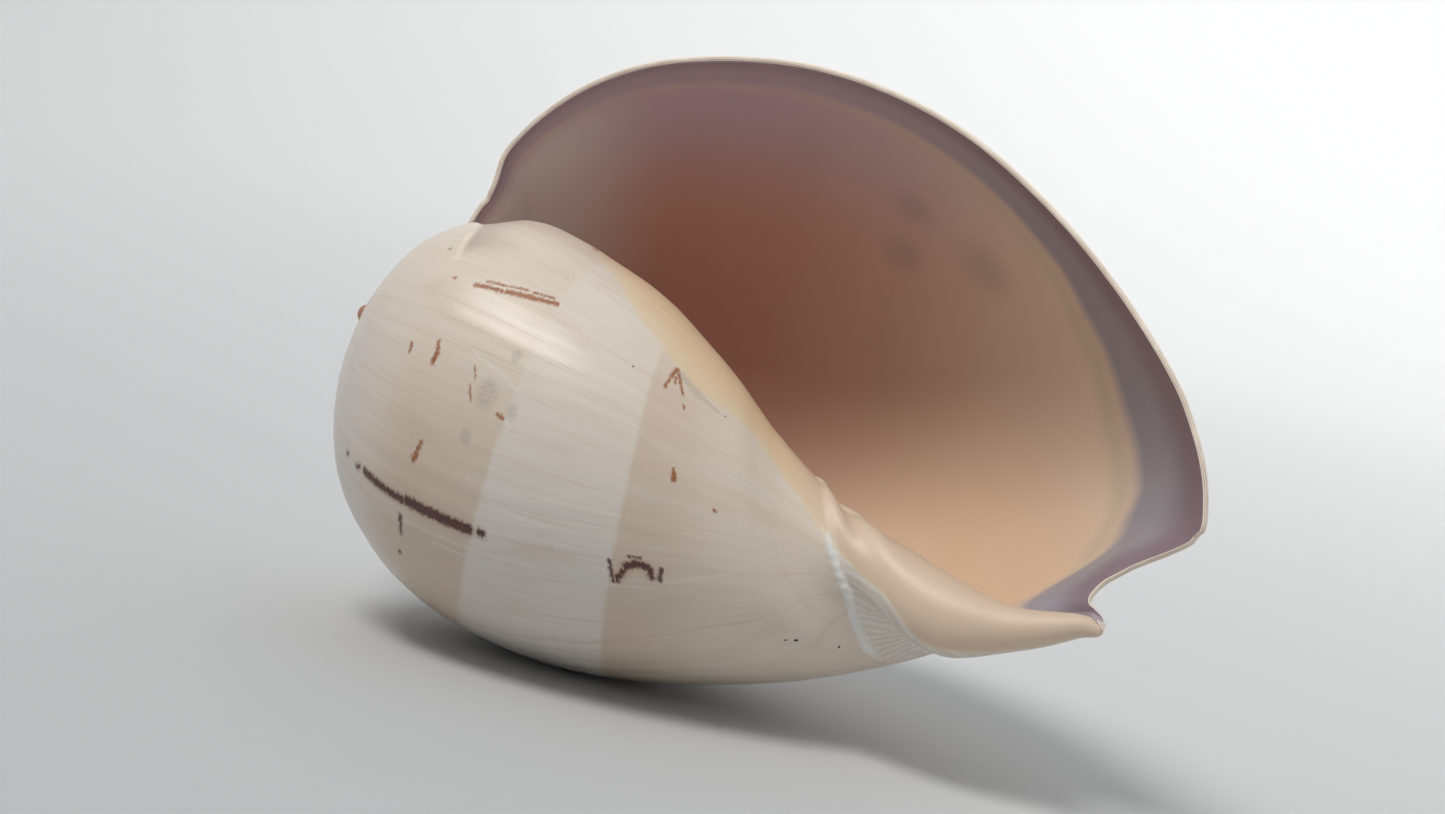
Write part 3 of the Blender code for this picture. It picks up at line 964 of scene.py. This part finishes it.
# The colour of the glaze that a whorl gets where the mouth lies over it.
def callusOn(paint, ground, v, share):
    colour = paint.blend(ground, shellLook["callus"], share * (0.35 + 0.6 * v.rise(0.2, 0.6)))
    return paint.blend(colour, shellLook["pillar"], v.rise(0.93, 1.02) * share * 0.8)


def growthLines(paint, u, v):
    return paint.noise(paint.vector(u * lineScale[0], v * lineScale[1]), 1.0, 3.0, 0.7)


def growthPlace(paint):
    growth = paint.node("ShaderNodeUVMap", {"uv_map": "growth"}, {})
    spot = paint.node("ShaderNodeTexCoord", {}, {}, output="Object")
    return paint.part(growth, "X"), paint.part(growth, "Y"), spot


def glazePaint():
    look = shellLook
    paint = Paint("shellGlaze")
    u, v, spot = growthPlace(paint)
    lines = growthLines(paint, u, v)
    paint.set("Base Color", outsidePaint(paint, look, u, v, spot, lines))
    worn = paint.value("worn")
    fine = paint.noise(paint.vector(u * 420, v * 6), 1.0, 3.0, 0.6)
    across = paint.noise(paint.vector(u * 6, v * 230), 1.0, 2.0, 0.5)
    height = lines * 0.5 + fine * 0.5 + across * 0.25 + paint.noise(spot, 900.0) * worn * 3.0
    bump = {"Strength": look["bump"], "Distance": look["bumpDepth"], "Height": height}
    paint.set("Normal", paint.node("ShaderNodeBump", {}, bump))
    paint.set("Roughness", look["roughness"] + worn * look["wornRougher"] + (fine - 0.5) * 0.10)
    paint.set("Specular IOR Level", look["shine"])
    return paint.material


def edgePaint():
    paint = Paint("shellEdge")
    side = paint.value("side")
    spot = paint.node("ShaderNodeTexCoord", {}, {}, output="Object")
    layer = side.near(0.467, 0.012).high(side.near(0.533, 0.012))
    streak = paint.noise(spot, 120.0, 3.0, 0.6)
    line = layer * streak.rise(0.25, 0.6)
    colour = paint.blend(shellLook["edge"], shellLook["edgeLine"], line * 0.85)
    paint.set("Base Color", colour)
    paint.set("Roughness", shellLook["edgeRoughness"])
    return paint.material


def liningPaint():
    look = insideLook
    paint = Paint("shellLining")
    u, v, spot = growthPlace(paint)
    paint.set("Base Color", insidePaint(paint, look, u, v, spot))
    lines = growthLines(paint, u, v)
    bump = {"Strength": look["bump"], "Distance": look["bumpDepth"], "Height": lines}
    paint.set("Normal", paint.node("ShaderNodeBump", {}, bump))
    paint.set("Roughness", look["roughness"] + (lines - 0.5) * 0.08)
    paint.set("Specular IOR Level", look["shine"])
    return paint.material


# The photograph's view: where it looks on the shell, from how far, and its turns in degrees.
photoView = {
    "target": (100.0, 0.0, 10.0),
    "distance": 600.0,
    "yaw": 22.83,
    "roll": 23.69,
    "lens": 61.14,
    "shift": (0.0105, 0.0102),
    "clip": (0.01, 50.0),
}


def viewAxes():
    yaw, roll = math.radians(photoView["yaw"]), math.radians(photoView["roll"])
    forward = Vector((-math.sin(yaw), math.cos(yaw), 0.0))
    level = Vector((math.cos(yaw), math.sin(yaw), 0.0))
    right = level * math.cos(roll) + Vector((0.0, 0.0, 1.0)) * math.sin(roll)
    up = right.cross(forward)
    turned = turnMatrix()
    return turned @ right, turned @ up, turned @ forward


def viewTarget():
    return (turnMatrix() @ Vector(photoView["target"]) + Vector(shellRest["move"])) * 0.001


def makeCamera():
    right, up, forward = viewAxes()
    data = bpy.data.cameras.new("photoCamera")
    data.lens = photoView["lens"]
    data.shift_x, data.shift_y = photoView["shift"]
    data.clip_start, data.clip_end = photoView["clip"]
    camera = bpy.data.objects.new("photoCamera", data)
    spot = viewTarget() - forward * photoView["distance"] * 0.001
    axes = Matrix((right, up, -forward)).transposed().to_4x4()
    camera.matrix_world = Matrix.Translation(spot) @ axes
    bpy.context.scene.collection.objects.link(camera)
    bpy.context.scene.camera = camera
    print("camera set")


# A wide round floor that curves up into a far wall, all one pale tone.
stageForm = {
    "flat": 1.6,
    "curve": 1.2,
    "wall": 2.5,
    "sides": 96,
    "bend": 16,
    "below": 0.0002,
}
stageLook = {"colour": (0.55, 0.555, 0.56), "roughness": 0.9}


def makeStage():
    form = stageForm
    profile = [(0.0, 0.0), (form["flat"], 0.0)]
    for part in range(1, form["bend"] + 1):
        angle = math.pi / 2 * part / form["bend"]
        profile.append((form["flat"] + form["curve"] * math.sin(angle),
                        form["curve"] * (1 - math.cos(angle))))
    profile.append((form["flat"] + form["curve"], form["curve"] + form["wall"]))
    points = [(0.0, 0.0, -form["below"])]
    for out, high in profile[1:]:
        for side in range(form["sides"]):
            angle = fullTurn * side / form["sides"]
            spot = (out * math.cos(angle), out * math.sin(angle), high - form["below"])
            points.append(spot)
    faces = []
    for side in range(form["sides"]):
        after = (side + 1) % form["sides"]
        faces.append([0, 1 + side, 1 + after])
        for ring in range(len(profile) - 2):
            low, high = 1 + ring * form["sides"], 1 + (ring + 1) * form["sides"]
            faces.append([low + side, high + side, high + after, low + after])
    mesh = bpy.data.meshes.new("floor")
    mesh.from_pydata(points, [], faces)
    mesh.shade_smooth()
    floor = bpy.data.objects.new("floor", mesh)
    bpy.context.scene.collection.objects.link(floor)
    paint = Paint("floorPaper")
    paint.set("Base Color", (*stageLook["colour"], 1.0))
    paint.set("Roughness", stageLook["roughness"])
    mesh.materials.append(paint.material)
    print("floor made")


# Soft lamps far off, each with the way its light comes from along the view's right, up and
# back, how wide it looks in degrees, and its strength.
lamps = {
    "overhead": {
        "from": (-0.28, 1.0, 0.72), "wide": 34.0, "strength": 3.75,
        "colour": (1.0, 0.985, 0.96),
    },
    "front": {
        "from": (0.15, 0.25, 1.0), "wide": 30.0, "strength": 2.7,
        "colour": (1.0, 0.99, 0.97),
    },
}
skyLook = {"colour": (0.93, 0.965, 1.0), "strength": 0.66}


def makeLight():
    right, up, forward = viewAxes()
    for name, lamp in lamps.items():
        data = bpy.data.lights.new(name, "SUN")
        data.angle = math.radians(lamp["wide"])
        data.energy = lamp["strength"]
        data.color = lamp["colour"]
        item = bpy.data.objects.new(name, data)
        x, y, z = lamp["from"]
        item.rotation_mode = "QUATERNION"
        item.rotation_quaternion = (forward * z - right * x - up * y).to_track_quat("-Z", "Y")
        bpy.context.scene.collection.objects.link(item)
    world = bpy.data.worlds.new("sky")
    world.use_nodes = True
    sky = world.node_tree.nodes["Background"]
    sky.inputs["Color"].default_value = (*skyLook["colour"], 1.0)
    sky.inputs["Strength"].default_value = skyLook["strength"]
    bpy.context.scene.world = world
    bpy.context.scene.view_settings.view_transform = "Standard"
    print("light set")


makeCamera()
makeStage()
makeLight()
shell = makeShell()
for paint in (glazePaint(), edgePaint(), liningPaint()):
    shell.data.materials.append(paint)
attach(shell, "root")
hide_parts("shell")
print("shell painted")
